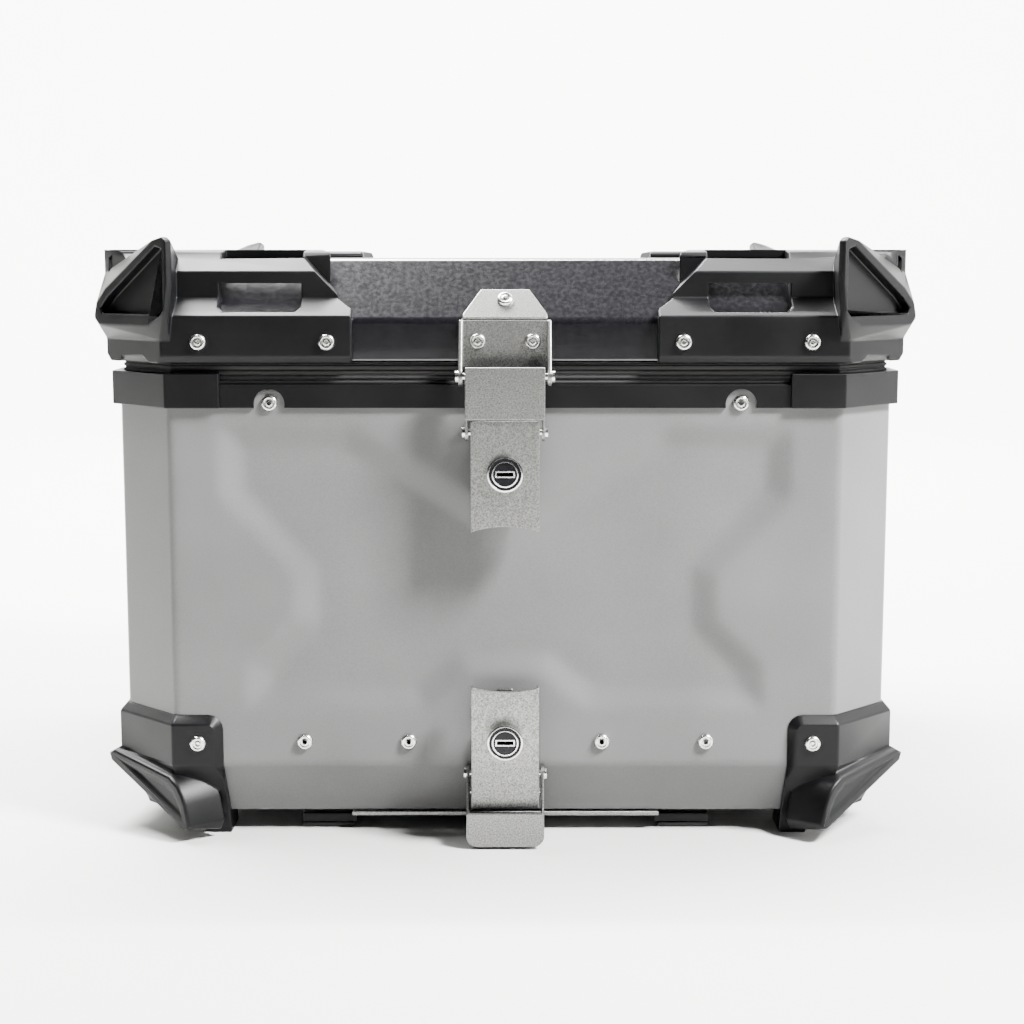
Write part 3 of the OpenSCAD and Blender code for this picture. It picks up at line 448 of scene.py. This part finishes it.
class TOPCASE_OT_body(bpy.types.Operator):
    """Pressed aluminium body: soft-edged panels, folded corners and a turned-in bottom"""
    bl_idname = "topcase.body"
    bl_label = "Body"

    def execute(self, context):
        sizes = context.scene.top_case_sizes
        shell = frame["nodes"]["body_shell"].data
        low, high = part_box("body_shell")
        half_x, half_y = high.x, high.y
        # where the walls stop and the folds start, read from the CAD shell's corner points
        corner = half_x - max(v.co.x for v in shell.vertices if abs(v.co.y - half_y) < 0.1 * MM)
        fold_z = min(v.co.z for v in shell.vertices if abs(v.co.x - half_x) < 0.1 * MM)
        lean = half_y - max(v.co.y for v in shell.vertices if abs(v.co.z - low.z) < 0.1 * MM)
        flange = half_y - lean - max(v.co.y for v in shell.vertices if abs(v.co.z - low.z) < 0.1 * MM
                                     and abs(v.co.x) < half_x - lean - 10 * MM and v.co.y < half_y - lean - MM)

        bm = bmesh.new()
        bmesh.ops.create_cube(bm, size=1)
        bmesh.ops.scale(bm, vec=(2 * half_x, 2 * half_y, high.z - fold_z), verts=bm.verts)
        bmesh.ops.translate(bm, vec=(0, 0, (high.z + fold_z) / 2), verts=bm.verts)
        bmesh.ops.bevel(bm, geom=[e for e in bm.edges if abs(e.verts[0].co.z - e.verts[1].co.z) > MM],
                        offset=corner, offset_type="OFFSET", segments=1, profile=0.5, affect="EDGES",
                        clamp_overlap=False, material=-1)
        bm.faces.ensure_lookup_table()
        top = max(bm.faces, key=lambda f: f.calc_center_median().z)
        bmesh.ops.delete(bm, geom=[top], context="FACES_ONLY")
        bottom = min(bm.faces, key=lambda f: f.calc_center_median().z)
        bmesh.ops.inset_region(bm, faces=[bottom], thickness=lean, use_even_offset=True)
        bmesh.ops.translate(bm, vec=(0, 0, low.z - fold_z), verts=bottom.verts)
        bmesh.ops.inset_region(bm, faces=[bottom], thickness=flange, use_even_offset=True)
        bmesh.ops.delete(bm, geom=[bottom], context="FACES_ONLY")
        round_edges(bm, sizes.fold_edge, segments=3, where=lambda e: not e.is_boundary)

        # a fine grid on the walls carries the pressed panels
        step = 2.6 * MM
        for axis, length in ((0, 2 * (half_x - corner)), (1, 2 * (half_y - corner)), (2, high.z - fold_z)):
            long_edges = [e for e in bm.edges if abs((e.verts[0].co - e.verts[1].co)[axis]) > 0.75 * length]
            bmesh.ops.subdivide_edges(bm, edges=long_edges, cuts=round(length / step), use_grid_fill=True)

        # each wall vertex drops to the CAD sheet's surface, then the panel's creases are eased
        tree = BVHTree.FromPolygons([v.co for v in shell.vertices], [p.vertices for p in shell.polygons])
        hole = 1.5 * bead_depth(shell, half_y)
        moved = []
        for vert in bm.verts:
            for axis, half in ((0, half_x), (1, half_y)):
                if abs(abs(vert.co[axis]) - half) > 0.01 * MM:
                    continue
                out = Vector((0, 0, 0))
                out[axis] = 1 if vert.co[axis] > 0 else -1
                for nudge in (0, 3.2 * MM, -3.2 * MM):
                    sample = vert.co + out * 10 * MM + Vector((0, 0, nudge))
                    hit = tree.ray_cast(sample, -out, 10 * MM + hole)[0]
                    if hit is not None:
                        vert.co[axis] = hit[axis]
                        moved.append(vert)
                        break
        edge_free = [v for v in moved if fold_z + 8 * MM < v.co.z < high.z - 12 * MM]
        for _ in range(round(sizes.press_edge / (0.7 * MM))):
            bmesh.ops.smooth_vert(bm, verts=edge_free, factor=0.5, use_axis_x=True, use_axis_y=True,
                                  use_axis_z=False)
        piece = place_piece(bm, "pressed_body", "body_shell", smooth_under=50)
        wall = piece.modifiers.new("Sheet", "SOLIDIFY")
        wall.thickness, wall.offset = 1.5 * MM, -1
        piece.modifiers.move(1, 0)
        dress("floor_pan", "rear_claws")
        turned_rivets("floor_rivets")
        return {"FINISHED"}


class TOPCASE_OT_rim(bpy.types.Operator):
    """Rim collar, its corner caps and the ribbed seal"""
    bl_idname = "topcase.rim"
    bl_label = "Rim"

    def execute(self, context):
        width = context.scene.top_case_sizes.rim_edge
        soften("rim_collar", width, longer_than=3 * MM)
        for corner in CORNERS:
            soften("rim_cap_" + corner, width, segments=3)
        soften("rim_seal", width * 0.6)
        turned_rivets("collar_rivets")
        return {"FINISHED"}


class TOPCASE_OT_base_guards(bpy.types.Operator):
    """Base corner guards with their feet and bumper fins"""
    bl_idname = "topcase.base_guards"
    bl_label = "Base guards"

    def execute(self, context):
        for corner in CORNERS:
            soften("base_guard_" + corner, context.scene.top_case_sizes.mould_edge, sliver=0.3 * MM, segments=3,
                   steeper_than=22, longer_than=2.5 * MM)
        turned_rivets("base_guard_rivets")
        return {"FINISHED"}


class TOPCASE_OT_lid(bpy.types.Operator):
    """Powder coated lid and the frame inside its edge"""
    bl_idname = "topcase.lid"
    bl_label = "Lid"

    def execute(self, context):
        soften("lid_shell", context.scene.top_case_sizes.lid_edge, segments=3, steeper_than=12,
               longer_than=8 * MM)
        dress("lid_frame")
        return {"FINISHED"}


class TOPCASE_OT_lid_guards(bpy.types.Operator):
    """Lid corner guards with grip bars and ears"""
    bl_idname = "topcase.lid_guards"
    bl_label = "Lid guards"

    def execute(self, context):
        for corner in CORNERS:
            soften("lid_guard_" + corner, context.scene.top_case_sizes.mould_edge, sliver=0.3 * MM, segments=3,
                   steeper_than=15, longer_than=2.5 * MM)
        turned_rivets("lid_guard_rivets")
        return {"FINISHED"}


class TOPCASE_OT_latches(bpy.types.Operator):
    """Lid latch and base latch: pressed plates, pins and their catches"""
    bl_idname = "topcase.latches"
    bl_label = "Latches"

    def execute(self, context):
        width = context.scene.top_case_sizes.plate_edge
        for node in ("latch_bracket", "top_link", "top_lever", "latch_keeper", "base_latch_bracket",
                     "base_lever", "base_hook"):
            soften(node, width, segments=3, longer_than=1.4 * MM)
        dress("link_upper_pins", "link_lower_pins", "base_latch_pin", "hook_pins")
        turned_rivets("latch_bracket_rivets", "keeper_rivets", "base_latch_rivets")
        return {"FINISHED"}


class TOPCASE_OT_locks(bpy.types.Operator):
    """Lock barrels, plugs, nuts and cams"""
    bl_idname = "topcase.locks"
    bl_label = "Locks"

    def execute(self, context):
        for latch in ("top", "base"):
            barrel, plug = latch + "_lock_barrel", latch + "_lock_plug"
            low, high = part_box(barrel)
            middle, edge = (low.z + high.z) / 2, (high.z - low.z) / 2
            length, bezel = high.y - low.y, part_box(latch + "_lever")[0].y - low.y
            bore = (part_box(plug)[1].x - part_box(plug)[0].x) / 2 + 0.05 * MM
            neck = edge - 1.5 * MM

            def turned(profile, name, node, slot=None):
                """Turned ring on the lock's axis; profile points run outwards from the barrel's inner end."""
                bm = lathe(profile, 96)
                bmesh.ops.rotate(bm, cent=(0, 0, 0), matrix=Matrix.Rotation(-pi / 2, 3, "Z"), verts=bm.verts)
                bmesh.ops.translate(bm, vec=(0, high.y, middle), verts=bm.verts)
                return place_piece(bm, name, node, smooth_under=40, slot=slot)

            turned([(0, bore), (0, neck), (length - bezel, neck), (length - bezel, edge),
                    (length - 0.8 * MM, edge), (length - 0.25 * MM, edge - 0.2 * MM), (length, edge - 0.7 * MM),
                    (length, edge - 1.0 * MM), (length - 0.5 * MM, edge - 1.3 * MM),
                    (length - 0.5 * MM, bore + 1.0 * MM), (length - 0.1 * MM, bore + 0.85 * MM),
                    (length, bore + 0.6 * MM), (length, bore + 0.25 * MM), (length - 0.3 * MM, bore), (0, bore)],
                   latch + "_turned_barrel", barrel)
            turned([(length - 0.6 * MM, bore + 0.95 * MM), (length - 0.6 * MM, edge - 1.2 * MM),
                    (length - 0.35 * MM, edge - 1.25 * MM), (length - 0.35 * MM, bore + 1.0 * MM),
                    (length - 0.6 * MM, bore + 0.95 * MM)],
                   latch + "_enamel_ring", barrel, slot="lock_face")

            # bright lip round the key slot
            bm = bmesh.new()
            bmesh.ops.create_grid(bm, x_segments=1, y_segments=1, size=0.5)
            bmesh.ops.scale(bm, vec=(10.2 * MM, 3.5 * MM, 1), verts=bm.verts)
            face = bm.faces[:][0]
            bmesh.ops.inset_region(bm, faces=[face], thickness=0.75 * MM, use_even_offset=True, use_boundary=True)
            bmesh.ops.delete(bm, geom=[face], context="FACES")
            bmesh.ops.solidify(bm, geom=bm.faces[:], thickness=0.3 * MM)
            bmesh.ops.recalc_face_normals(bm, faces=bm.faces)
            round_edges(bm, 0.12 * MM, segments=2, longer_than=0.2 * MM)
            bmesh.ops.rotate(bm, cent=(0, 0, 0), matrix=Matrix.Rotation(pi / 2, 3, "X"), verts=bm.verts)
            front = min(v.co.y for v in bm.verts)
            bmesh.ops.translate(bm, vec=(0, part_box(plug)[0].y - 0.22 * MM - front, middle), verts=bm.verts)
            lip = place_piece(bm, latch + "_key_slot_lip", plug, slot="bright_steel", stands_for=False)
            dress(plug, latch + "_lock_nut", latch + "_lock_cam", latch + "_cam_screw")
        return {"FINISHED"}


class TOPCASE_OT_hinges(bpy.types.Operator):
    """Rear hinges"""
    bl_idname = "topcase.hinges"
    bl_label = "Hinges"

    def execute(self, context):
        for side in ("left", "right"):
            soften("hinge_leaf_body_" + side, 0.4 * MM, longer_than=3 * MM)
            soften("hinge_leaf_lid_" + side, 0.4 * MM, longer_than=3 * MM)
        dress("hinge_pins")
        turned_rivets("hinge_body_rivets", "hinge_lid_rivets")
        return {"FINISHED"}


class TOPCASE_OT_rack(bpy.types.Operator):
    """Rack plate, its steel sheet and rubber pads"""
    bl_idname = "topcase.rack"
    bl_label = "Rack plate"

    def execute(self, context):
        soften("rack_plate", 0.8 * MM, longer_than=3 * MM)
        soften("rack_sheet", 0.4 * MM, longer_than=3 * MM)
        soften("rack_pads", 1.2 * MM)
        return {"FINISHED"}


class TOPCASE_OT_stage(bpy.types.Operator):
    """Pale floor with a curved backdrop, soft lights and the camera"""
    bl_idname = "topcase.stage"
    bl_label = "Stage"

    def execute(self, context):
        scene = context.scene
        bm = bmesh.new()
        # a round studio, open at the front: flat floor, a quarter round and an upright wall
        radius, bend, height = 3.6, 1.2, 3.0
        run = [(0, 0), (radius - bend, 0)]
        run += [(radius - bend + bend * sin(step / 10 * pi / 2), bend - bend * cos(step / 10 * pi / 2))
                for step in range(1, 11)]
        run.append((radius, height))
        points = [bm.verts.new((across, 0, up)) for across, up in run]
        edges = [bm.edges.new(pair) for pair in zip(points, points[1:])]
        bmesh.ops.spin(bm, geom=points + edges, cent=(0, 0, 0), axis=(0, 0, 1), angle=2 * pi, steps=72,
                       use_merge=True, use_duplicate=False, dvec=(0, 0, 0))
        bmesh.ops.remove_doubles(bm, verts=bm.verts, dist=0.01 * MM)
        open_side = [f for f in bm.faces if f.calc_center_median().z > 0.01 and f.calc_center_median().y < 0.6]
        bmesh.ops.delete(bm, geom=open_side, context="FACES")
        bmesh.ops.recalc_face_normals(bm, faces=bm.faces)
        if sum(f.normal.z for f in bm.faces) < 0:
            bmesh.ops.reverse_faces(bm, faces=bm.faces)
        mesh = bpy.data.meshes.new("studio")
        bm.to_mesh(mesh)
        bm.free()
        mesh.shade_smooth()
        mesh.materials.append(studio_paint(scene.top_case_colours.floor))
        studio = bpy.data.objects.new("studio", mesh)
        scene.collection.objects.link(studio)

        def soft_light(name, place, target, width, height, watts):
            data = bpy.data.lights.new(name, "AREA")
            data.shape = "RECTANGLE"
            data.size, data.size_y, data.energy = width, height, watts
            lamp = bpy.data.objects.new(name, data)
            lamp.location = place
            lamp.rotation_euler = (Vector(target) - Vector(place)).to_track_quat("-Z", "Y").to_euler()
            scene.collection.objects.link(lamp)

        soft_light("top_softbox", (-0.42, 0.2, 1.45), (-0.3, 0.05, 0.3), 0.95, 0.6, 170)
        soft_light("key_softbox", (1.0, -0.72, 1.3), (0.05, -0.15, 0.15), 0.35, 0.35, 225)
        soft_light("right_softbox", (1.6, -0.35, 0.6), (0.1, -0.1, 0.2), 0.5, 0.8, 18)
        soft_light("backdrop_light", (0, 0.9, 2.6), (0, 3.6, 0.9), 3.0, 0.8, 2200)
        world = bpy.data.worlds.new("soft_room")
        world.use_nodes = True
        world.node_tree.nodes["Background"].inputs["Color"].default_value = linear("#F2F4F8")
        world.node_tree.nodes["Background"].inputs["Strength"].default_value = 0.03
        scene.world = world

        camera = bpy.data.cameras.new("camera")
        camera.lens, camera.sensor_width = 65.4, 36
        camera.clip_start, camera.clip_end = 0.01, 100
        eye = bpy.data.objects.new("camera", camera)
        eye.location = (0.0036, -1.147, 0.312)
        eye.rotation_euler = (radians(90 - 7.8), 0, 0)
        scene.collection.objects.link(eye)
        scene.camera = eye
        return {"FINISHED"}


class TOPCASE_PT_panel(bpy.types.Panel):
    """Lists the sizes, the colours and the building steps"""
    bl_label = "Top case"
    bl_idname = "TOPCASE_PT_panel"
    bl_space_type = "VIEW_3D"
    bl_region_type = "UI"
    bl_category = "Top case"

    def draw(self, context):
        for group in (context.scene.top_case_sizes, context.scene.top_case_colours):
            box = self.layout.box()
            for name in group.__annotations__:
                box.prop(group, name)
        for operator in OPERATORS:
            self.layout.operator(operator.bl_idname)


OPERATORS = (TOPCASE_OT_stage, TOPCASE_OT_body, TOPCASE_OT_rim, TOPCASE_OT_base_guards, TOPCASE_OT_lid,
             TOPCASE_OT_lid_guards, TOPCASE_OT_latches, TOPCASE_OT_locks, TOPCASE_OT_hinges,
             TOPCASE_OT_rack)
CLASSES = (TopCaseSizes, TopCaseColours, *OPERATORS, TOPCASE_PT_panel)


def register():
    for cls in CLASSES:
        bpy.utils.register_class(cls)
    bpy.types.Scene.top_case_sizes = PointerProperty(type=TopCaseSizes)
    bpy.types.Scene.top_case_colours = PointerProperty(type=TopCaseColours)


def unregister():
    del bpy.types.Scene.top_case_colours
    del bpy.types.Scene.top_case_sizes
    for cls in reversed(CLASSES):
        bpy.utils.unregister_class(cls)


def main():
    register()
    for operator in OPERATORS:
        category, name = operator.bl_idname.split(".")
        getattr(getattr(bpy.ops, category), name)()


if __name__ == "__main__":
    main()
